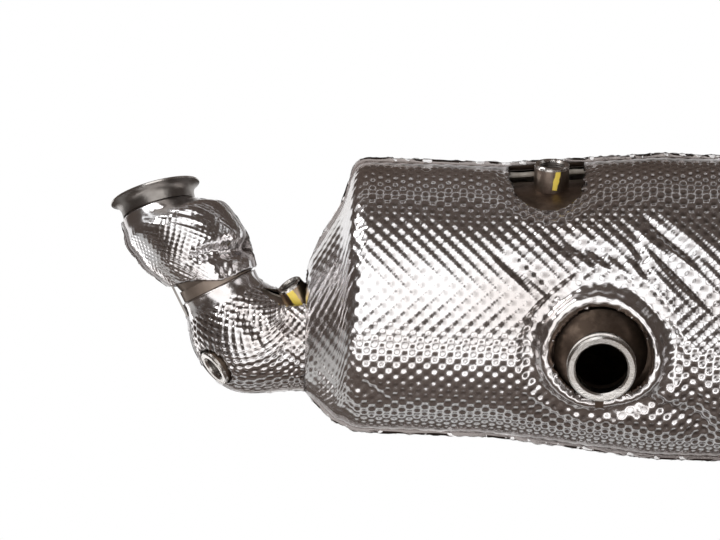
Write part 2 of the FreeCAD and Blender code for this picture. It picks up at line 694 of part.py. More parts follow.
elbow_hole = hole_tool("elbow_boss", ELBOW_BOSS, "Sizes.elbow_boss_radius",
                       "Sizes.boss_clearance")
cone_hole = hole_tool("cone_boss", CONE_BOSS, "Sizes.cone_boss_foot", "Sizes.cone_clearance")
COLLAR = "(Sizes.pipe_radius + Sizes.elbow_end_lift)"
collar_plug = cylinder("collar_plug", f"{COLLAR} + 2 * Sizes.seat_gap",
                       "Sizes.hole_reach", facing(ELBOW_END, ELBOW_END_WAY),
                       back=size("hole_reach") / 2)
lip_slot = part_object("Part::Box", "lip_slot", Length="Sizes.hole_reach",
                       Width="2 * Sizes.foil + 2 * Sizes.seat_gap",
                       Height=f"2 * ({COLLAR} + Sizes.seam_width + Sizes.seat_gap)")
lip_slot.Placement.Base = Vector(
    size("elbow_end_x") - size("hole_reach") / 2, size("can_depth") - size("foil") - size("seat_gap"),
    ELBOW_END.z - ELBOW_END_RADIUS - size("seam_width") - size("seat_gap"))
port_hole = cylinder("port_hole", "Sizes.port_hole", "Sizes.port_face", PORT)
notch_place = CAN.multiply(Placement(Vector(size("boss_x"), 0, size("notch_height")),
                                     Rotation(Z_AXIS, Y_AXIS.negative())))
notch = cylinder("notch", "Sizes.notch_radius", "Sizes.shield_large", notch_place)

for side in SIDES:
    pressing = half_loft(f"inlet_pressing_{side}", shield_section, INLET_RINGS, side)
    keep(f"inlet_shield_{side}", pressing)
    pressing = half_loft(f"elbow_pressing_{side}", shield_section, ELBOW_RINGS, side)
    if side == "front":
        pressing = cut("elbow_pressing_open", pressing, cone_hole, elbow_hole)
    keep(f"elbow_shield_{side}", pressing)
    pressing = half_loft(f"can_pressing_{side}", shield_section, CAN_RINGS, side)
    pressing = cut(f"can_pressing_slotted_{side}", pressing, lip_slot)
    if side == "front":
        pressing = cut("can_pressing_open", pressing, cone_hole, port_hole, notch)
    keep(f"can_shield_{side}", pressing)

# ---------------------------------------------------------------------------
# Fibre pads between the shields and the steel
# ---------------------------------------------------------------------------
rim_clear = cylinder("rim_clear", "Sizes.pipe_radius + Sizes.elbow_throat_lift",
                     "3 * Sizes.socket_length", MOUTH_DOWNWARD, back=size("socket_length"))
for side in SIDES:
    blank = half_loft(f"inlet_pad_{side}_blank", pad_section, INLET_RINGS, side)
    keep(f"inlet_insulation_{side}", cut(f"inlet_pad_{side}", blank, inlet_run_outer, bell_outer))
    blank = half_loft(f"can_pad_{side}_blank", pad_section, CAN_RINGS, side)
    holes = (cone_hole, port_hole, notch) if side == "front" else ()
    keep(f"can_insulation_{side}", cut(f"can_pad_{side}", blank, can_solid, outlet_solid,
                                       collar_plug, lip_slot, cone_outer, *holes))

elbow_wrap = elbow_run("elbow_wrap", "Sizes.pipe_radius + Sizes.elbow_wrap")
keep("elbow_insulation", cut("elbow_pad", elbow_wrap, rim_clear, elbow_outer, cone_socket,
                             cone_outer, elbow_hole, cone_hole))

# ---------------------------------------------------------------------------
# Strap that ties the inlet shield to the elbow shield
# ---------------------------------------------------------------------------
strap_blank = part_object("Part::Box", "strap_blank", Length="Sizes.strap_thick",
                          Width="Sizes.strap_width", Height="Sizes.strap_length")
strap_blank.Placement = MOUTH_UP.multiply(Placement(
    Vector(-CUFF_RADIUS - size("strap_thick"), -size("strap_width") / 2,
           -size("socket_length")), Rotation()))
strap_seats = [parts[f"{node}_{side}"] for side in SIDES
               for node in ("inlet_shield", "elbow_shield", "inlet_insulation")]
keep("shield_strap", cut("shield_strap_fitted", strap_blank, *strap_seats))

# ---------------------------------------------------------------------------
# Check and write
# ---------------------------------------------------------------------------
doc.recompute()
for item in doc.Objects:
    if "Invalid" in item.State or "Error" in item.State:
        raise RuntimeError(f"{item.Name} ({item.Label}) failed: {item.State}")
for node, item in parts.items():
    if item.Shape.isNull() or not item.Shape.isValid():
        raise RuntimeError(f"{node} has no valid shape")

os.makedirs("parts", exist_ok=True)
for node, item in parts.items():
    item.Shape.exportStep(f"parts/{node}.step")
    box = item.Shape.BoundBox
    print(f"{node:24s} {item.Shape.Volume / 1000:9.2f} cm3  solids {len(item.Shape.Solids)}  "
          f"x {box.XMin:7.1f}..{box.XMax:7.1f}  y {box.YMin:7.1f}..{box.YMax:7.1f}  "
          f"z {box.ZMin:7.1f}..{box.ZMax:7.1f}")
print(len(parts), "nodes")
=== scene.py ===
import math

import bmesh
import bpy
from mathutils import Matrix, Vector, noise


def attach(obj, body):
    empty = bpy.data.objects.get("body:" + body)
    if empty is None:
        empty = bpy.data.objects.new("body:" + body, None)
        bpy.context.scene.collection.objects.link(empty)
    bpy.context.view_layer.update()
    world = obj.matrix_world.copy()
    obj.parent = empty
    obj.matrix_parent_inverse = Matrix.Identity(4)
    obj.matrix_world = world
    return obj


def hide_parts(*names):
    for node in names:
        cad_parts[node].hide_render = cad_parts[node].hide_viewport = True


# Close-coupled exhaust after-treatment unit of a car engine: a V-band inlet, a short pipe
# and elbow in their own foil covers, and a can wrapped in two embossed foil clamshells,
# with a take-off port in front and three threaded sensor bosses. Sizes are in millimetres
# until a mesh is finished, and the frame is the part's own: +X along the can, +Z up.
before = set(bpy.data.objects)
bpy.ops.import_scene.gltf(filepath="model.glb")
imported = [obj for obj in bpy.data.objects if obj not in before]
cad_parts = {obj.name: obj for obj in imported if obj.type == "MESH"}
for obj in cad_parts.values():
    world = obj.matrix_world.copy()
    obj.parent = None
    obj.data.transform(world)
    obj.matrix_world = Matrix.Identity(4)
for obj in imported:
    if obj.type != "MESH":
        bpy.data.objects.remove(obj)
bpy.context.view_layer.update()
MM = 0.001
X_AXIS, Y_AXIS, Z_AXIS = Vector((1, 0, 0)), Vector((0, 1, 0)), Vector((0, 0, 1))

# ---------------------------------------------------------------------------
# Camera, lights and studio
# The part hangs clear of a pale floor. A tall soft light stands close in front of its left
# half, with smaller ones low, below, at the right, high on the left and behind the heel of
# the elbow. Brown cards all round, seen in reflections alone, darken the rest of the foil.
# ---------------------------------------------------------------------------
VIEW_CENTRE = Vector((148.3, -20.0, -56.2))
VIEW_WIDTH = 518.4
CAMERA_BACK = 5000.0
CAMERA_RISE = 1.0

camera_data = bpy.data.cameras.new("camera")
camera_data.sensor_width = 36.0
camera_data.lens = 36.0 * CAMERA_BACK / VIEW_WIDTH
camera_data.clip_start, camera_data.clip_end = 0.05, 50.0
camera = bpy.data.objects.new("camera", camera_data)
rise = math.radians(CAMERA_RISE)
camera_way = Vector((0, -math.cos(rise), math.sin(rise)))
camera.location = (VIEW_CENTRE + camera_way * CAMERA_BACK) * MM
camera.rotation_euler = (math.pi / 2 - rise, 0, 0)
bpy.context.scene.collection.objects.link(camera)
bpy.context.scene.camera = camera
bpy.context.scene.view_settings.view_transform = "Standard"


def add_object(name, bm):
    """A linked object made from a bmesh in millimetres, with its place in its mesh."""
    bmesh.ops.scale(bm, vec=(MM, MM, MM), verts=bm.verts)
    mesh = bpy.data.meshes.new(name)
    bm.to_mesh(mesh)
    bm.free()
    thing = bpy.data.objects.new(name, mesh)
    bpy.context.scene.collection.objects.link(thing)
    return thing


def new_material(name):
    """A new node material, with its tree and its Principled shader."""
    material = bpy.data.materials.new(name)
    material.use_nodes = True
    tree = material.node_tree
    return material, tree, tree.nodes["Principled BSDF"]


def put(tree, kind, settings=(), **inputs):
    """A node with its settings made and each named input set or linked. An input's name
    has underscores for spaces, and a trailing number picks one of several like it."""
    made = tree.nodes.new(kind)
    for key, value in dict(settings).items():
        setattr(made, key, value)
    for key, value in inputs.items():
        stem, _, number = key.rpartition("_")
        if number.isdigit():
            like = [s for s in made.inputs if s.name == stem.replace("_", " ")]
            socket = like[int(number)]
        else:
            socket = next(s for s in made.inputs
                          if s.name == key.replace("_", " ") and s.enabled)
        if isinstance(value, bpy.types.NodeSocket):
            tree.links.new(value, socket)
        else:
            socket.default_value = value
    return made


def card(name, centre, across, up, size, colour, glow=0.0):
    """A flat studio card facing the part: dark to flag a reflection, or lit as a softbox."""
    bm = bmesh.new()
    bmesh.ops.create_grid(bm, x_segments=1, y_segments=1, size=0.5)
    across, up = Vector(across).normalized(), Vector(up).normalized()
    turn = Matrix((across * size[0], up * size[1], across.cross(up))).transposed().to_4x4()
    bmesh.ops.transform(bm, matrix=Matrix.Translation(Vector(centre)) @ turn, verts=bm.verts)
    thing = add_object(name, bm)
    material, tree, shader = new_material(name)
    shader.inputs["Base Color"].default_value = (*colour, 1)
    shader.inputs["Roughness"].default_value = 0.9
    if glow:
        shader.inputs["Emission Color"].default_value = (1, 1, 1, 1)
        shader.inputs["Emission Strength"].default_value = glow
    thing.data.materials.append(material)
    return thing


card("studio_floor", (150, 0, -620), (1, 0, 0), (0, 1, 0), (9000, 2400), (0.86, 0.86, 0.85))
DARK = (0.125, 0.094, 0.078)    # warm brown, as the foil mirrors it
flags = [
    card("flag_above", (200, -900, 1500), (1, 0, 0), (0, 1, 0.25), (3800, 2600), DARK),
    card("flag_behind_camera", (150, -3400, 300), (1, 0, 0), (0, 0, 1), (7000, 3600), DARK),
    card("flag_right", (2300, -900, 0), (0, 1, 0), (0, 0, 1), (3600, 3200), DARK),
    card("flag_left", (-2300, -300, 100), (0, 1, 0), (0, 0, 1), (5200, 3000), DARK),
    card("flag_over_back", (200, 900, 900), (1, 0, 0), (0, 0.7, -0.7), (3200, 1500), DARK),
    card("flag_under_back", (500, 700, -560), (1, 0, 0), (0, 1, 0.2), (2600, 1300), DARK),
    card("flag_below", (150, -700, -600), (1, 0, 0), (0, 1, 0), (4200, 1700), DARK),
]
for flag in flags:
    flag.visible_camera = flag.visible_diffuse = flag.visible_shadow = False


def softbox(name, centre, target, size, power):
    """A rectangular soft lamp that looks at a target."""
    lamp = bpy.data.lights.new(name, "AREA")
    lamp.shape = "RECTANGLE"
    lamp.size, lamp.size_y = size[0] * MM, size[1] * MM
    lamp.energy = power
    thing = bpy.data.objects.new(name, lamp)
    thing.location = Vector(centre) * MM
    aim = (Vector(target) - Vector(centre)).normalized()
    thing.rotation_euler = aim.to_track_quat("-Z", "Y").to_euler()
    bpy.context.scene.collection.objects.link(thing)


softbox("softbox_beside", (-60, -800, 30), (-60, 0, 30), (720, 1700), 4.9)
softbox("softbox_low", (160, -1300, -900), (180, 0, -80), (1900, 620), 5.6)
softbox("softbox_under", (160, -420, -580), (180, -60, -150), (1500, 260), 1.8)
softbox("softbox_strip", (610, -1500, 140), (360, 0, -60), (460, 1000), 2.2)
softbox("softbox_top_left", (-900, -500, 1100), (150, 0, -60), (500, 900), 7.0)
softbox("softbox_heel", (-520, 760, -520), (40, -30, -120), (500, 500), 1.2)

world = bpy.data.worlds.new("studio")
bpy.context.scene.world = world
world.use_nodes = True
sky = world.node_tree
plain = sky.nodes["Background"]
plain.inputs["Color"].default_value = (1, 1, 1, 1)
plain.inputs["Strength"].default_value = 0.45
white = put(sky, "ShaderNodeBackground", Color=(1, 1, 1, 1), Strength=1.0)
ray = put(sky, "ShaderNodeLightPath")
seen = put(sky, "ShaderNodeMath", {"operation": "MAXIMUM"}, Value_0=ray.outputs["Is Camera Ray"],
           Value_1=ray.outputs["Is Glossy Ray"])
seen = put(sky, "ShaderNodeMath", {"operation": "MAXIMUM"}, Value_0=seen.outputs[0],
           Value_1=ray.outputs["Is Transmission Ray"])
mixed = put(sky, "ShaderNodeMixShader", Fac=seen.outputs[0])
sky.links.new(plain.outputs[0], mixed.inputs[1])
sky.links.new(white.outputs[0], mixed.inputs[2])
sky.links.new(mixed.outputs[0], sky.nodes["World Output"].inputs["Surface"])

# ---------------------------------------------------------------------------
# Foil covers: how each half is made
# Aluminised steel foil, embossed all over with staggered dimples while flat, cut to a
# blank, and then pressed to shape in halves that are crimped together along their lips.
# ---------------------------------------------------------------------------
FOIL = 1.0                      # foil with its dimples, as the frame has it
SEAT = 0.3                      # clearance of one cover on another
SEAM = 5.0                      # width of a lip
DIMPLE_ALONG, DIMPLE_ROUND = 10.8, 10.6
DIMPLE_DEPTH = 1.5
ROUND_OFF = 5.0                 # rounding of a corner between two straight spans
CRIMP_BEND = 2.2                # and of the bend where a lip leaves the cover
LIP_THICK = 0.9
CRUMPLE = 0.9                   # how far a lip is crumpled
HOLE_DEEP = 45.0                # a hole goes this far in past its centre, and no further
EDGE_REACH = 2.5                # cells from a hole whose corners are drawn to its edge
PAD_SHORT = 2.5                 # a fibre pad stops this far from the seam
FELT_LUMPS = 1.2
SIDES = {"front": -1, "rear": 1}


def heading(lean, tip):
    """Unit vector straight down, leaned towards +X and then tipped towards -Y."""
    lean, tip = math.radians(lean), math.radians(tip)
    return Vector((math.sin(lean) * math.cos(tip), -math.sin(tip), -math.cos(lean) * math.cos(tip)))


def station(x, y, z, lean, tip, radius):
    return Vector((x, y, z)), heading(lean, tip), radius


def run_of(rings):
    """Each ring with its distance along the outside of the run."""
    run, far = [], 0.0
    for number, (centre, way, radius) in enumerate(rings):
        if number:
            step = centre - run[-1][1]
            far += math.hypot(step.length, radius - run[-1][3])
        run.append((far, centre, way, radius))
    return run


def ring_at(run, far, smooth):
    """The ring at a distance along a run, on a smooth curve through the stations or on
    straight spans between them."""
    number = 0
    while number < len(run) - 2 and far > run[number + 1][0]:
        number += 1
    start, end = run[number], run[number + 1]
    share = min(max((far - start[0]) / (end[0] - start[0]), 0.0), 1.0)
    if not smooth:
        return tuple(a + (b - a) * share for a, b in zip(start[1:], end[1:]))
    before, after = run[max(number - 1, 0)], run[min(number + 2, len(run) - 1)]
    square, cube = share ** 2, share ** 3
    return tuple(b * (1 - 3 * square + 2 * cube) + c * (3 * square - 2 * cube)
                 + (c - a) * ((share - 2 * square + cube) / 2)
                 + (d - b) * ((cube - square) / 2)
                 for a, b, c, d in zip(before[1:], start[1:], end[1:], after[1:]))


def rounded_ring(run, far, smooth):
    """The ring at a distance, with the corners between straight spans rounded off."""
    if smooth:
        return ring_at(run, far, True)
    near = [ring_at(run, min(max(far + step * ROUND_OFF, 0), run[-1][0]), False)
            for step in (-1, -0.5, 0, 0.5, 1)]
    return tuple(sum((value for value in values[1:]), values[0]) / 5 for values in zip(*near))


def bump(value, width):
    """1 at nought, falling smoothly to 0 at the width either side."""
    share = min(abs(value) / width, 1.0)
    return (1 - share * share) ** 2


def ramp(value, low, high):
    share = min(max((value - low) / (high - low), 0.0), 1.0)
    return share * share * (3 - 2 * share)


def crease_depth(point, creases):
    """How far hand-made creases push the foil at a point seen from the front. A crease
    runs between two places, X and Z, and has a half width and a depth."""
    total = 0.0
    for x1, z1, x2, z2, width, depth in creases:
        run_x, run_z = x2 - x1, z2 - z1
        share = ((point.x - x1) * run_x + (point.z - z1) * run_z) / (run_x ** 2 + run_z ** 2)
        share = min(max(share, 0.0), 1.0)
        away = math.hypot(point.x - x1 - run_x * share, point.z - z1 - run_z * share)
        if away < 3 * width:
            total += depth * math.exp(-(away / width) ** 2) * (1 - 0.55 * (2 * share - 1) ** 2)
    return total


def press_half(name, node, rings, side, finish, holes=(), smooth=True, cell=2.7, lip=None,
               form=None, dimple=None, layer=(0.0, FOIL + 0.8), pitch=1.0, slide=None):
    """Half of a cover. A flat blank has its holes cut and gets its thickness and a finer
    outside, then it is laid round the run, formed, and embossed. A hole is a centre, a way
    out and a radius. lip, form and dimple give the lip's width, the push outwards and the
    strength of the dimples at a place, pitch the size of the dimples, and slide how far an
    edge is drawn along the run. A fibre pad is made likewise with no lip or dimples, as a
    layer at its own depths."""
    run = run_of(rings)
    length = run[-1][0]
    half_arch = math.pi / 2 * max(ring[3] for ring in run)
    half_width = half_arch + (SEAM if lip else -PAD_SHORT)
    facing = SIDES[side]
    columns, rows = round(length / cell), round(2 * half_width / cell)
    bm = bmesh.new()
    bmesh.ops.create_grid(bm, x_segments=columns, y_segments=rows, size=1)
    bmesh.ops.scale(bm, vec=(length / 2, half_width, 1), verts=bm.verts)
    bmesh.ops.translate(bm, vec=(length / 2, 0, 0), verts=bm.verts)
    at_edge = bm.verts.layers.float.new("at_edge")

    def lie(flat_x, flat_y):
        """Where a place of the blank lies on the run, its way out, and its distance round."""
        centre, way, radius = rounded_ring(run, flat_x, smooth)
        across = way.normalized().cross(Y_AXIS).normalized()
        out = across.cross(way.normalized()).normalized() * facing
        sign = -facing if flat_y > 0 else facing
        limit = math.acos(FOIL / radius)

        def path(beyond):
            if beyond <= 0:
                turn = limit + beyond / radius
                return centre + (across * (sign * math.sin(turn)) + out * math.cos(turn)) * radius
            foot = math.sqrt(radius ** 2 - FOIL ** 2)
            return centre + across * (sign * (foot + beyond)) + out * FOIL

        if abs(flat_y) <= half_arch:
            beyond = (abs(flat_y) / half_arch - 1) * limit * radius
        else:
            wide = max(lip(flat_x, sign), 0.05)
            beyond = (abs(flat_y) - half_arch) / SEAM * wide
        if abs(beyond) < CRIMP_BEND:
            share = (beyond + CRIMP_BEND) / (2 * CRIMP_BEND)
            first, middle, last = path(-CRIMP_BEND), path(0), path(CRIMP_BEND)
            place = (first * (1 - share) ** 2 + middle * (2 * share * (1 - share))
                     + last * share ** 2)
        else:
            place = path(beyond)
        turn = limit + min(beyond, 0) / radius
        away = across * (sign * math.sin(turn)) + out * math.cos(turn)
        if beyond > 0:
            away = out
        return place, away, sign * (limit * radius + beyond), beyond

    # The holes are cut out of the flat blank, and their edges drawn to a true circle.
    doomed, cut_edge = [], set()
    for face in bm.faces:
        middle = face.calc_center_median()
        place = lie(middle.x, middle.y)[0]
        for centre, axis, radius in holes:
            from_centre = place - centre
            depth = from_centre.dot(axis)
            if depth > -HOLE_DEEP and (from_centre - axis * depth).length < radius:
                doomed.append(face)
                cut_edge.update(face.verts)
                break
    for vert in cut_edge:
        vert[at_edge] = 1.0
    bmesh.ops.delete(bm, geom=doomed, context="FACES")

    bmesh.ops.solidify(bm, geom=bm.faces[:], thickness=FOIL)
    top = max(round(vert.co.z, 3) for vert in bm.verts)
    outside = [face for face in bm.faces if all(v.co.z > top - FOIL / 2 for v in face.verts)]
    if dimple:
        edges = {edge for face in outside for edge in face.edges}
        bmesh.ops.subdivide_edges(bm, edges=list(edges), cuts=1, use_grid_fill=True)
    bmesh.ops.recalc_face_normals(bm, faces=bm.faces[:])

    relief = bm.verts.layers.float.new("relief")
    lip_wear_and_sheen = bm.verts.layers.float.new("lip_wear_and_sheen")
    laid = []
    for vert in bm.verts:
        outer = vert.co.z > top - FOIL / 2
        flat_x, flat_y = vert.co.x, vert.co.y
        place, away, around, beyond = lie(flat_x, flat_y)
        if vert[at_edge] > 0.99:
            for centre, axis, radius in holes:
                from_centre = place - centre
                depth = from_centre.dot(axis)
                radial = from_centre - axis * depth
                if depth > -HOLE_DEEP and abs(radial.length - radius) < EDGE_REACH * cell:
                    place += radial.normalized() * (radius - radial.length)
                    break
        if slide is not None:
            place = place + ring_at(run, flat_x, False)[1] * slide(flat_x, around)
        if form is not None:
            place = place + away * form(flat_x, around, place, beyond)
        vert.co = place
        laid.append((vert, outer, flat_x, around, beyond))
    bm.normal_update()
    shifts = []
    for vert, outer, along, around, beyond in laid:
        if outer and not dimple:
            shifts.append(vert.normal * -(layer[0] + FELT_LUMPS * uneven(vert.co, 6, 8)))
            vert[relief] = 1.0
        elif outer:
            strength = dimple(along, around, vert.co, beyond)
            wave = (math.cos(math.tau * along / (DIMPLE_ALONG * pitch))
                    * math.cos(math.tau * around / (DIMPLE_ROUND * pitch)))
            wave = math.copysign(abs(wave) ** 0.85, wave)
            height = (wave - 1) / 2 * strength
            crumple = uneven(vert.co, 2.6, 4) * CRUMPLE * ramp(beyond, 0, 2)
            shifts.append(vert.normal * (height * DIMPLE_DEPTH * pitch - crumple))
            vert[relief] = 1 + height
            # Along a lip the foil is worn duller and painted near white, as a painted sheen.
            vert[lip_wear_and_sheen] = ramp(beyond, -1.5, 1.5)
        else:
            shifts.append(vert.normal * (LIP_THICK if beyond > 0 else layer[1]))
            # The inside of the foil takes the lowest relief, and so the darkest painted shade.
            vert[relief] = 0.0
    for (vert, *_), shift in zip(laid, shifts):
        vert.co += shift
    for face in bm.faces:
        face.smooth = True
    half = add_object(name, bm)
    half.data.materials.append(finish)
    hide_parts(node)
    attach(half, "root")


def uneven(point, scale, seed):
    """Smooth unevenness from 0 to 1."""
    return noise.noise(point / scale + Vector((seed, -seed, 2 * seed))) / 2 + 0.5


# Foil finish: bright on its crests, with soft clouds of heat and road dirt. The hollows of the
# dimples and the inside of the foil are painted darker and browner, as painted shade.
foil_tone = bpy.data.node_groups.new("foil tone", "ShaderNodeTree")
for label in ("Relief", "Cloud Size", "Brown"):
    foil_tone.interface.new_socket(name=label, in_out="INPUT", socket_type="NodeSocketFloat")
for label, kind in (("Color", "NodeSocketColor"), ("Roughness", "NodeSocketFloat"),
                    ("Height", "NodeSocketFloat")):
    foil_tone.interface.new_socket(name=label, in_out="OUTPUT", socket_type=kind)
tone_in = foil_tone.nodes.new("NodeGroupInput").outputs
tone_out = foil_tone.nodes.new("NodeGroupOutput")
place = put(foil_tone, "ShaderNodeTexCoord").outputs["Object"]
cloud = put(foil_tone, "ShaderNodeTexNoise", Vector=place, Scale=tone_in["Cloud Size"], Detail=3.0,
            Roughness=0.55)
cloud = put(foil_tone, "ShaderNodeMapRange", Value=cloud.outputs["Fac"], From_Min=0.42, From_Max=0.68)
browned = put(foil_tone, "ShaderNodeMath", {"operation": "MULTIPLY"},
              Value_0=cloud.outputs["Result"], Value_1=tone_in["Brown"])
# Painted shade: the lower the relief, the more the colour goes to dark brown.
hollow_shade = put(foil_tone, "ShaderNodeMapRange", Value=tone_in["Relief"], From_Min=0.0, From_Max=0.6,
             To_Min=1.0, To_Max=0.0)
crest = put(foil_tone, "ShaderNodeMix", {"data_type": "RGBA"}, Factor=browned.outputs[0],
            A=(0.87, 0.86, 0.87, 1), B=(0.55, 0.47, 0.42, 1))
deep = put(foil_tone, "ShaderNodeMath", {"operation": "MULTIPLY"},
           Value_0=hollow_shade.outputs["Result"], Value_1=0.88)
colour = put(foil_tone, "ShaderNodeMix", {"data_type": "RGBA"}, Factor=deep.outputs[0],
             A=crest.outputs["Result"], B=(0.19, 0.165, 0.155, 1))
foil_tone.links.new(colour.outputs["Result"], tone_out.inputs["Color"])
scuff = put(foil_tone, "ShaderNodeTexNoise", Vector=place, Scale=420.0, Detail=4.0)
rough = put(foil_tone, "ShaderNodeMapRange", Value=scuff.outputs["Fac"], From_Min=0.3, From_Max=0.7,
            To_Min=0.14, To_Max=0.24)
foil_tone.links.new(rough.outputs["Result"], tone_out.inputs["Roughness"])
grain = put(foil_tone, "ShaderNodeTexNoise", Vector=place, Scale=900.0, Detail=2.0)
foil_tone.links.new(grain.outputs["Fac"], tone_out.inputs["Height"])


def foil_material(name, brown, cloud_size):
    """Foil with clouds of brown of some strength and size; a lip is worn duller and has a painted sheen.
    """
    material, tree, shader = new_material(name)
    relief = put(tree, "ShaderNodeAttribute", {"attribute_name": "relief"})
    lip_wear_and_sheen = put(tree, "ShaderNodeAttribute", {"attribute_name": "lip_wear_and_sheen"})
    tone = tree.nodes.new("ShaderNodeGroup")
    tone.node_tree = foil_tone
    tree.links.new(relief.outputs["Fac"], tone.inputs["Relief"])
    tone.inputs["Cloud Size"].default_value = cloud_size
    tone.inputs["Brown"].default_value = brown
    metal = put(tree, "ShaderNodeMapRange", Value=lip_wear_and_sheen.outputs["Fac"], To_Min=1.0, To_Max=0.5)
    tree.links.new(metal.outputs["Result"], shader.inputs["Metallic"])
    # A lip's colour goes to near white and its metal to half: partly wear, partly painted sheen.
    colour = put(tree, "ShaderNodeMix", {"data_type": "RGBA"}, Factor=lip_wear_and_sheen.outputs["Fac"],
                 A=tone.outputs["Color"], B=(1.0, 0.99, 0.99, 1))
    rough = put(tree, "ShaderNodeMix", {"data_type": "FLOAT"}, Factor=lip_wear_and_sheen.outputs["Fac"],
                A=tone.outputs["Roughness"], B=0.5)
    tree.links.new(colour.outputs["Result"], shader.inputs["Base Color"])
    tree.links.new(rough.outputs["Result"], shader.inputs["Roughness"])
    bump_node = put(tree, "ShaderNodeBump", Height=tone.outputs["Height"], Strength=0.12,
                    Distance=0.0004)
    tree.links.new(bump_node.outputs["Normal"], shader.inputs["Normal"])
    return material


# ---------------------------------------------------------------------------
# Can cover
# Two foil halves round the can and both its cones, crimped top and bottom with a lip that
# was trimmed by hand. A bead and a valley ring the port, the foil dips round the can's
# boss, and dents and creases are left where it had nowhere to go.
# ---------------------------------------------------------------------------
# Places on the can are along its axis, across it and above it.
DROOP = math.radians(2.2)
CAN = Matrix.Translation((140, -20, -73.5)) @ Matrix.Rotation(DROOP, 4, "Y")
CAN_WAY = CAN.to_3x3() @ X_AXIS


def can_station(along, rise, radius):
    return CAN @ Vector((along, 0, rise)), CAN_WAY.copy(), radius


CAN_END = 327.0
OUTLET_START = CAN_END + 34.0
CAN_RINGS = [
    (Vector(((CAN @ Vector((-30, 0, 0))).x - FOIL, -20, -104)), X_AXIS.copy(), 37.5 + FOIL + SEAT),
    can_station(-30, -24, 46.5),
    can_station(-21.5, -19.5, 56),
    can_station(-14, -16, 66),
    can_station(-6, -12.5, 77),
    can_station(0.5, 0, 90.5),
    can_station(6, 0, 95),
    can_station(108, 0, 95),
    can_station(222, 0, 106),
    can_station(CAN_END - 6, 0, 106),
    can_station(CAN_END + 6, 0, 100),
    can_station(OUTLET_START, 0, 46),
    can_station(OUTLET_START + 3, 0, 34.8),
]


def radial_axis(along, angle):
    """A point of the can's axis and the way out at an angle above the front."""
    angle = math.radians(angle)
    return (CAN @ Vector((along, 0, 0)),
            CAN.to_3x3() @ Vector((0, -math.cos(angle), math.sin(angle))))


PORT_FROM, PORT_OUT = radial_axis(180, -20)
BOSS_FROM, BOSS_OUT = radial_axis(142, 72)
CONE_BOSS, CONE_BOSS_OUT = Vector((97, -36, -66)), Vector((-0.54, -0.3, 0.78)).normalized()
NOTCH_MIDDLE = CAN @ Vector((139, 0, 97))
NOTCH_RADIUS = 27.5
CONE_BOSS_HOLE = (CONE_BOSS, CONE_BOSS_OUT, 17.5)
CAN_HOLES = [(PORT_FROM, PORT_OUT, 35.0), (NOTCH_MIDDLE, -Y_AXIS, NOTCH_RADIUS), CONE_BOSS_HOLE]


def from_axis(point, centre, axis):
    offset = point - centre
    return (offset - axis * offset.dot(axis)).length


def ragged(seed):
    """The width of a lip that was trimmed by hand: uneven, and never over its full width."""
    return lambda along, sign: SEAM * (0.66 + 0.28 * uneven(Vector((along, 7 * sign, 0)), 9, seed))


NOTCH_DIP, NOTCH_DIP_WIDTH = 3.5, 13
CAN_UNEVEN = 1.6
BEAD_MIDDLE, BEAD_WIDTH, BEAD_RISE = 39.5, 7.5, 4.2
VALLEY_MIDDLE, VALLEY_WIDTH, VALLEY_DROP = 51.5, 8.5, 3.2
CAN_CREASES = [
    # X1, Z1, X2, Z2, half width, depth
    (250, -46, 283, -72, 5.0, -2.6),
    (289, -34, 330, -46, 6.0, -3.0),
    (352, -20, 386, -46, 5.0, -3.4),
    (358, -42, 396, -80, 5.5, -3.0),
    (342, -30, 352, -64, 4.5, -2.2),
    (322, -152, 372, -160, 8.0, -4.5),
    (352, -150, 400, -172, 7.0, -4.0),
    (376, -120, 392, -176, 8.0, -3.6),
    (144, -136, 164, -146, 5.0, -2.6),
    (139, -70, 148, -20, 3.5, -1.6),
    (262, -150, 300, -168, 6.0, -2.2),
]


def can_front_form(along, around, point, beyond):
    """The front half's push outwards: bead, valley, dip, creases and a soft unevenness."""
    away = from_axis(point, PORT_FROM, PORT_OUT)
    push = (BEAD_RISE * bump(away - BEAD_MIDDLE, BEAD_WIDTH)
            - VALLEY_DROP * bump(away - VALLEY_MIDDLE, VALLEY_WIDTH))
    notch = from_axis(point, NOTCH_MIDDLE, -Y_AXIS)
    push -= NOTCH_DIP * bump(notch - NOTCH_RADIUS, NOTCH_DIP_WIDTH) * ramp(-20 - point.y, 0, 25)
    push += crease_depth(point, CAN_CREASES)
    return push - CAN_UNEVEN * uneven(point, 28, 3) * ramp(away, 40, 70)


def can_rear_form(along, around, point, beyond):
    """The rear half is plain but for one long stiffening crease."""
    from_crease = point.z + 60 + 0.2 * (point.x - 300)
    ends = ramp(point.x, 200, 230) - ramp(point.x, 380, 420)
    return -1.8 * uneven(point, 30, 9) - 2.5 * bump(from_crease, 7) * ends


def can_dimple(along, around, point, beyond):
    """Dimples are pressed flatter on the lips, the cone, the taut left end and by the port."""
    away = from_axis(point, PORT_FROM, PORT_OUT)
    near_hole = ramp(away, 42, 58) if point.y < -20 else 1.0
    on_lip = 1 - 0.75 * ramp(beyond, -2, 2)
    cone = 0.45 + 0.55 * ramp(along, 62, 88)
    taut = 0.8 + 0.2 * ramp(along, 165, 215)
    return on_lip * cone * taut * (0.35 + 0.65 * near_hole) * (0.8 + 0.2 * uneven(point, 22, 5))


def can_lip(along, sign):
    """The lip runs out where the cover meets the elbow."""
    return ragged(1)(along, sign) * ramp(along, 12, 26)


foil_can = foil_material("foil_can", 0.45, 9.0)
press_half("can_foil_front", "can_shield_front", CAN_RINGS, "front", foil_can, CAN_HOLES,
           smooth=False, cell=2.85, lip=can_lip, form=can_front_form, dimple=can_dimple)
press_half("can_foil_rear", "can_shield_rear", CAN_RINGS, "rear", foil_can, smooth=False,
           cell=3.0, lip=can_lip, form=can_rear_form, dimple=can_dimple)

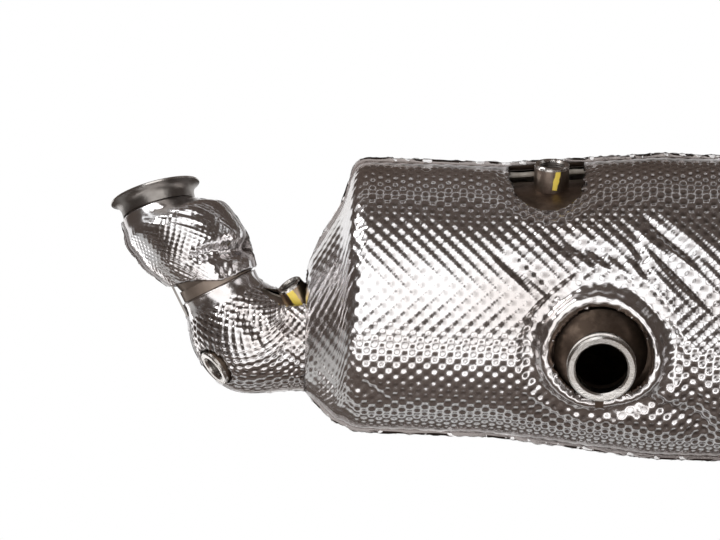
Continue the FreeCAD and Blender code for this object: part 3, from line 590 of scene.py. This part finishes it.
# ---------------------------------------------------------------------------
# Elbow cover
# Two smaller halves of the same foil. Their mouth is a plain crimped collar, the foil folds
# on the inside of the bend, and it stretches into slanting wrinkles by the can.
# ---------------------------------------------------------------------------
ELBOW_RINGS = [
    station(46.4, -20, -68.8, 26.4, 0, 27.9),
    station(50.4, -20, -76.9, 26.4, 0, 28.6),
    station(60, -20, -93, 38, 0, 37),
    station(76, -20, -106, 57, 0, 41),
    station(94, -20, -105.2, 84, 0, 37.3),
    station(105, -20, -104, 90, 0, 37.5),
    station(120, -20, -104, 90, 0, 37.5),
]

ELBOW_BOSS = Vector((43, -35.5, -127))
ELBOW_BOSS_OUT = Vector((-0.748, -0.317, -0.583)).normalized()
ELBOW_HOLES = [CONE_BOSS_HOLE, (ELBOW_BOSS, ELBOW_BOSS_OUT, 16.8)]
ELBOW_CREASES = [
    (62, -84, 82, -104, 7.0, -4.2),
    (88, -88, 108, -104, 4.5, -3.0),
    (44, -84, 74, -74, 1.8, 0.8),
    (46, -90, 76, -80, 1.8, 0.8),
    (92, -112, 112, -128, 2.6, -1.2),
    (96, -124, 114, -136, 2.6, -1.2),
]


def elbow_form(along, around, point, beyond):
    """Creases, slanting wrinkles towards the can, and a soft unevenness past the collar."""
    slant = (point.x * 0.8 - point.z * 0.6) / 2.6
    wrinkle = math.sin(slant + 1.2 * noise.noise(point / 20)) - 1
    held = ramp(along, 16, 30) * bump(math.hypot(point.x - 104, point.z + 114), 24)
    return (crease_depth(point, ELBOW_CREASES) + 0.35 * wrinkle * held
            - 1.0 * uneven(point, 36, 2) * ramp(along, 8, 18))


def elbow_dimple(along, around, point, beyond):
    return (ramp(along, 8, 15) * (1 - 0.75 * ramp(beyond, -2, 2))
            * (0.85 + 0.15 * uneven(point, 14, 5)))


def narrow_lip(along, sign):
    """Lips hammered back against the cover, so that little of them shows."""
    return 1.4


foil_elbow = foil_material("foil_elbow", 0.7, 22.0)
press_half("elbow_foil_front", "elbow_shield_front", ELBOW_RINGS, "front", foil_elbow,
           ELBOW_HOLES, cell=1.8, lip=narrow_lip, form=elbow_form, dimple=elbow_dimple,
           pitch=0.66)
press_half("elbow_foil_rear", "elbow_shield_rear", ELBOW_RINGS, "rear", foil_elbow,
           cell=1.8, lip=narrow_lip, form=elbow_form, dimple=elbow_dimple, pitch=0.66)

# ---------------------------------------------------------------------------
# Inlet cover
# Two halves pressed deep into a shoulder and a belly, with a fold between them on the right,
# so that their dimples are smaller and fade out towards the rim.
# ---------------------------------------------------------------------------
INLET_RINGS = [
    station(3.6, -3.3, -13.4, 18, 14, 27.5),
    station(7.4, -5.0, -17.6, 22, 13, 30.6),
    station(15, -8.2, -23.5, 25, 12, 37.4),
    station(24, -11.6, -34.5, 21, 10, 38.4),
    station(31, -14.5, -45, 18, 8, 37.6),
    station(42, -18.5, -61, 13, 4, 31),
]
INLET_CREASES = [
    (34, -44, 92, -36, 5.5, -7.0),
    (24, -50, 44, -40, 3.4, -2.6),
    (-20, -32, 2, -54, 7.0, -2.4),
    (2, -12, 40, -18, 2.2, -1.0),
    (-6, -18, 44, -25, 2.0, -0.9),
    (48, -50, 58, -64, 4.0, -1.8),
]


def inlet_form(along, around, point, beyond):
    """Creases, a soft unevenness, and fine pleats low on the belly."""
    pleat = math.sin(around / 2.3 + 0.8 * noise.noise(point / 24)) - 1
    low = ramp(-point.z + 0.35 * point.x, 52, 66)
    return (crease_depth(point, INLET_CREASES) - 1.1 * uneven(point, 34, 6) * ramp(along, 4, 12)
            + 0.3 * pleat * low * ramp(58 - along, 0, 6))


def inlet_dimple(along, around, point, beyond):
    stretched = 0.35 + 0.65 * bump(math.hypot(point.x - 24, point.z + 36), 34)
    return (1 - 0.75 * ramp(beyond, -2, 2)) * stretched * ramp(along, 8, 18)


def inlet_slide(along, around):
    """The foot of the cover dips over the joint on its right and in front."""
    return 5.0 * ramp(along, 44, 58) * bump(around - 8, 26)


foil_inlet = foil_material("foil_inlet", 0.55, 26.0)
press_half("inlet_foil_front", "inlet_shield_front", INLET_RINGS, "front", foil_inlet,
           cell=1.7, lip=narrow_lip, form=inlet_form, dimple=inlet_dimple, pitch=0.5,
           slide=inlet_slide)
press_half("inlet_foil_rear", "inlet_shield_rear", INLET_RINGS, "rear", foil_inlet,
           cell=1.7, lip=narrow_lip, form=inlet_form, dimple=inlet_dimple, pitch=0.5)

# ---------------------------------------------------------------------------
# Fibre pads and mats
# Needled mineral fibre. Pads are laid on the steel under the foil and pressed to the same
# forms; mats are wrapped round the bricks and squeezed into the can.
# ---------------------------------------------------------------------------
stain = bpy.data.node_groups.new("stained metal", "ShaderNodeTree")
for label, kind in (("Clean", "NodeSocketColor"), ("Stained", "NodeSocketColor"),
                    ("Size", "NodeSocketFloat")):
    stain.interface.new_socket(name=label, in_out="INPUT", socket_type=kind)
for label, kind in (("Color", "NodeSocketColor"), ("Amount", "NodeSocketFloat"),
                    ("Height", "NodeSocketFloat")):
    stain.interface.new_socket(name=label, in_out="OUTPUT", socket_type=kind)
stain_in = stain.nodes.new("NodeGroupInput").outputs
stain_out = stain.nodes.new("NodeGroupOutput")
place = put(stain, "ShaderNodeTexCoord").outputs["Object"]
cloud = put(stain, "ShaderNodeTexNoise", Vector=place, Scale=stain_in["Size"], Detail=5.0,
            Roughness=0.6)
amount = put(stain, "ShaderNodeMapRange", Value=cloud.outputs["Fac"], From_Min=0.35, From_Max=0.65)
tone = put(stain, "ShaderNodeMix", {"data_type": "RGBA"}, Factor=amount.outputs["Result"],
           A=stain_in["Clean"], B=stain_in["Stained"])
finer = put(stain, "ShaderNodeMath", {"operation": "MULTIPLY"}, Value_0=stain_in["Size"], Value_1=14.0)
fine = put(stain, "ShaderNodeTexNoise", Vector=place, Scale=finer.outputs[0], Detail=3.0)
stain.links.new(tone.outputs["Result"], stain_out.inputs["Color"])
stain.links.new(amount.outputs["Result"], stain_out.inputs["Amount"])
stain.links.new(fine.outputs["Fac"], stain_out.inputs["Height"])


def stained_material(name, clean, stained, scale, rough_clean, rough_stained, metallic=1.0):
    """A finish in two tones that meet in clouds, each tone with its own roughness."""
    material, tree, shader = new_material(name)
    group = tree.nodes.new("ShaderNodeGroup")
    group.node_tree = stain
    group.inputs["Clean"].default_value = (*clean, 1)
    group.inputs["Stained"].default_value = (*stained, 1)
    group.inputs["Size"].default_value = scale
    tree.links.new(group.outputs["Color"], shader.inputs["Base Color"])
    rough = put(tree, "ShaderNodeMapRange", Value=group.outputs["Amount"],
                To_Min=rough_clean, To_Max=rough_stained)
    tree.links.new(rough.outputs["Result"], shader.inputs["Roughness"])
    shader.inputs["Metallic"].default_value = metallic
    bump_node = put(tree, "ShaderNodeBump", Height=group.outputs["Height"], Strength=0.2,
                    Distance=0.0005)
    tree.links.new(bump_node.outputs["Normal"], shader.inputs["Normal"])
    return material


fibre = stained_material("fibre", (0.60, 0.56, 0.50), (0.35, 0.30, 0.25), 90, 0.9, 1.0, 0.0)
PAD = (2.4, 6.5)                # depths of its outside and inside under the foil
PAD_SETBACK = 1.5               # a pad's hole is this much wider than the foil's


def wider(holes):
    """The foil's holes as they are cut in the pad below it."""
    return [(centre, axis, radius + PAD_SETBACK) for centre, axis, radius in holes]


press_half("can_pad_front", "can_insulation_front", CAN_RINGS[1:], "front", fibre,
           wider(CAN_HOLES), smooth=False, cell=4.0, form=can_front_form, layer=PAD)
press_half("can_pad_rear", "can_insulation_rear", CAN_RINGS[1:], "rear", fibre,
           smooth=False, cell=5.0, form=can_rear_form, layer=PAD)
press_half("elbow_pad_front", "elbow_insulation", ELBOW_RINGS[1:], "front", fibre,
           wider(ELBOW_HOLES), cell=3.0, form=elbow_form, layer=PAD)
press_half("elbow_pad_rear", "elbow_insulation", ELBOW_RINGS[1:], "rear", fibre, cell=3.0,
           form=elbow_form, layer=PAD)
for side in SIDES:
    press_half(f"inlet_pad_{side}", f"inlet_insulation_{side}", INLET_RINGS, side, fibre,
               cell=3.0, form=inlet_form, layer=PAD)


def give_finish(finish, *nodes):
    """One finish for every surface of these pieces of the frame."""
    for node in nodes:
        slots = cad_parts[node].data.materials
        if not slots:
            slots.append(finish)
        for number in range(len(slots)):
            slots[number] = finish


give_finish(fibre, "oxidation_mat", "filter_mat", "inlet_insulation_front",
            "inlet_insulation_rear", "can_insulation_front", "can_insulation_rear")

# ---------------------------------------------------------------------------
# Bricks
# Two ceramic bricks, extruded and then coated by dipping. Each is held in the can by the
# mat that is wrapped round it.
# ---------------------------------------------------------------------------
ceramic = stained_material("ceramic", (0.62, 0.58, 0.50), (0.40, 0.36, 0.30), 80, 0.8, 0.95, 0.0)
give_finish(ceramic, "oxidation_brick", "filter_brick")

# ---------------------------------------------------------------------------
# Gas path
# Stainless tube bent for the inlet and elbow, pressed sheet for the cones and the can, all
# welded and stained by heat. The flange at the outlet end is turned.
# ---------------------------------------------------------------------------
taupe_steel = stained_material("taupe_steel", (0.42, 0.35, 0.30), (0.33, 0.27, 0.225), 40,
                               0.5, 0.6)
brown_steel = stained_material("brown_steel", (0.24, 0.18, 0.14), (0.09, 0.065, 0.05), 45,
                               0.35, 0.55)
turned_steel = stained_material("turned_steel", (0.80, 0.79, 0.77), (0.62, 0.58, 0.54), 60,
                                0.16, 0.28)
give_finish(taupe_steel, "inlet_pipe", "elbow_pipe")
give_finish(brown_steel, "inlet_cone", "can_shell", "outlet_cone", "outlet_pipe")
give_finish(turned_steel, "outlet_flange")

# ---------------------------------------------------------------------------
# Take-off port and strap
# A drawn neck welded to the can, a machined ring with a groove round it, and a locating nib.
# The strap is a strip of sheet that ties the inlet cover to the elbow cover.
# ---------------------------------------------------------------------------
dark_steel = stained_material("dark_steel", (0.36, 0.34, 0.32), (0.22, 0.20, 0.185), 30,
                              0.25, 0.4)
give_finish(brown_steel, "port_neck", "port_nib")
give_finish(turned_steel, "port_flange")
give_finish(dark_steel, "shield_strap")

# ---------------------------------------------------------------------------
# Turned pieces: the inlet rim and the three sensor bosses
# Turned from stainless bar. The rim flares to a thin edge that a V-band clamp grips; each
# boss has a chamfered mouth, a metric thread, and a brown side where it was welded.
# ---------------------------------------------------------------------------
STEPS_ROUND = 72
SHARP = 0.5                     # turns over this many radians keep a crisp edge
EDGE_BREAK = 0.7                # small bevel round a boss's outer edge
BRIGHT_BAND = 2.4               # machined band below a boss's mouth
THREAD_SHARE = 0.55             # depth of a thread as a share of its pitch
FACE, SIDE, THREAD = range(3)   # the finishes of a turned piece


def mismatch(face, start, end):
    """How far a face's reach in height and radius is from that of a stretch of profile."""
    heights = [vert.co.z for vert in face.verts]
    radii = [math.hypot(vert.co.x, vert.co.y) for vert in face.verts]
    return (abs(max(heights) - max(start[1], end[1])) + abs(min(heights) - min(start[1], end[1]))
            + abs(max(radii) - max(start[0], end[0])) + abs(min(radii) - min(start[0], end[0])))


def spun(name, node, origin, out, profile, finishes):
    """A closed profile of radius, height and finish, spun about an axis from its mouth. The
    finish belongs to the stretch that begins there."""
    bm = bmesh.new()
    verts = [bm.verts.new((radius, 0, height)) for radius, height, _ in profile]
    edges = [bm.edges.new((verts[i], verts[(i + 1) % len(verts)])) for i in range(len(verts))]
    bmesh.ops.spin(bm, geom=verts + edges, cent=(0, 0, 0), axis=(0, 0, 1), angle=math.tau,
                   steps=STEPS_ROUND, use_merge=True)
    bmesh.ops.remove_doubles(bm, verts=bm.verts, dist=0.01)
    spans = [(profile[i], profile[(i + 1) % len(profile)]) for i in range(len(profile))]
    for face in bm.faces:
        nearest = min(spans, key=lambda span: mismatch(face, *span))
        face.material_index = nearest[0][2]
        face.smooth = True
    for edge in bm.edges:
        if edge.is_manifold and edge.calc_face_angle(0) > SHARP:
            edge.smooth = False
    bmesh.ops.recalc_face_normals(bm, faces=bm.faces[:])
    turn = Z_AXIS.rotation_difference(out).to_matrix().to_4x4()
    bmesh.ops.transform(bm, matrix=Matrix.Translation(origin) @ turn, verts=bm.verts)
    piece = add_object(name, bm)
    for finish in finishes:
        piece.data.materials.append(finish)
    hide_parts(node)
    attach(piece, "root")


def threaded_bore(bore, pitch, deep):
    """Profile of a bore's thread, from its bottom up to the chamfer. Spun, it makes rings."""
    points = []
    for number in range(int(deep / pitch)):
        at = -deep + number * pitch
        points += [(bore, at, THREAD), (bore + THREAD_SHARE * pitch, at + 0.5 * pitch, THREAD)]
    return points


BOSS_CHAMFER = 1.5
THREAD_PITCH = 1.5


def boss_profile(mouth, foot, bore, deep):
    """A boss from its thread over its mouth and down its side to its foot."""
    return threaded_bore(bore, THREAD_PITCH, deep - BOSS_CHAMFER) + [
        (bore, -BOSS_CHAMFER, FACE), (bore + BOSS_CHAMFER, 0, FACE), (mouth - EDGE_BREAK, 0, FACE),
        (mouth, -EDGE_BREAK, FACE), (mouth, -BRIGHT_BAND, SIDE), (foot, -deep, THREAD)]


PAINT_WANDER = 1.2              # how far the edge of a paint stroke strays


def marked_material(name, base, planes):
    """A steel side with a stroke of yellow paint: all that lies near every one of some
    planes, each given by a direction, a distance and a half width."""
    material = stained_material(name, *base)
    tree = material.node_tree
    shader = tree.nodes["Principled BSDF"]
    place = put(tree, "ShaderNodeTexCoord").outputs["Object"]
    wobble = put(tree, "ShaderNodeTexNoise", Vector=place, Scale=300.0, Detail=2.0)
    ragged_edge = put(tree, "ShaderNodeMapRange", Value=wobble.outputs["Fac"], To_Min=-PAINT_WANDER * MM,
                      To_Max=PAINT_WANDER * MM)
    masks = []
    for direction, distance, half_width in planes:
        across = put(tree, "ShaderNodeVectorMath", {"operation": "DOT_PRODUCT"})
        tree.links.new(place, across.inputs[0])
        across.inputs[1].default_value = direction
        moved = put(tree, "ShaderNodeMath", {"operation": "ADD"}, Value_0=across.outputs["Value"],
                    Value_1=ragged_edge.outputs["Result"])
        masks.append(put(tree, "ShaderNodeMath", {"operation": "COMPARE"}, Value_0=moved.outputs[0],
                         Value_1=distance * MM, Value_2=half_width * MM))
    mask = masks[0]
    for other in masks[1:]:
        mask = put(tree, "ShaderNodeMath", {"operation": "MULTIPLY"}, Value_0=mask.outputs[0],
                   Value_1=other.outputs[0])
    steel = shader.inputs["Base Color"].links[0].from_socket
    colour = put(tree, "ShaderNodeMix", {"data_type": "RGBA"}, Factor=mask.outputs[0],
                 A=steel, B=(0.83, 0.62, 0.10, 1))
    bare = put(tree, "ShaderNodeMath", {"operation": "SUBTRACT"}, Value_0=1.0,
               Value_1=mask.outputs[0])
    tree.links.new(colour.outputs["Result"], shader.inputs["Base Color"])
    tree.links.new(bare.outputs[0], shader.inputs["Metallic"])
    return material


# The rim's profile: bore, thin edge, hollow flare, neck, and the socket for the pipe.
INLET_OUT = -heading(16, 14)
spun("inlet_rim", "inlet_flange", Vector(), INLET_OUT, [
    (23.5, -6, SIDE), (23.5, -0.8, SIDE), (24.3, 0, FACE), (32.5, 0, FACE), (33, -0.5, FACE),
    (33, -1.6, SIDE), (31.0, -2.5, SIDE), (29.2, -3.9, SIDE), (27.9, -5.8, SIDE),
    (27.1, -8.2, SIDE), (26.9, -13, SIDE), (25.1, -13, SIDE), (25.1, -6, SIDE)],
    [turned_steel, dark_steel])
can_side = marked_material("can_boss_side", ((0.36, 0.29, 0.24), (0.14, 0.10, 0.08), 45, 0.35, 0.5),
                           [((1, 0, -0.2), 287.0, 1.9), ((0, 0, 1), 8.6, 7.4)])
cone_side = marked_material("cone_boss_side", ((0.62, 0.48, 0.30), (0.30, 0.20, 0.20), 70, 0.3, 0.42),
                            [((0.82, 0, 0.57), 39.5, 2.6)])
CAN_BOSS_FACE = 104.5           # its mouth, out from the can's axis
M18_BORE, M14_BORE = 8.25, 6.25
for name, origin, out, profile, side in (
        ("can_boss_turned", BOSS_FROM + BOSS_OUT * CAN_BOSS_FACE, BOSS_OUT,
         boss_profile(12.5, 12.5, M18_BORE, 19.5), can_side),
        ("elbow_boss_turned", ELBOW_BOSS, ELBOW_BOSS_OUT,
         boss_profile(13.8, 13.8, M18_BORE, 27.5), brown_steel),
        ("cone_boss_turned", CONE_BOSS, CONE_BOSS_OUT,
         boss_profile(9.5, 12.5, M14_BORE, 24.0), cone_side)):
    spun(name, name.replace("boss_turned", "sensor_boss"), origin, out, profile,
         [turned_steel, side, dark_steel])
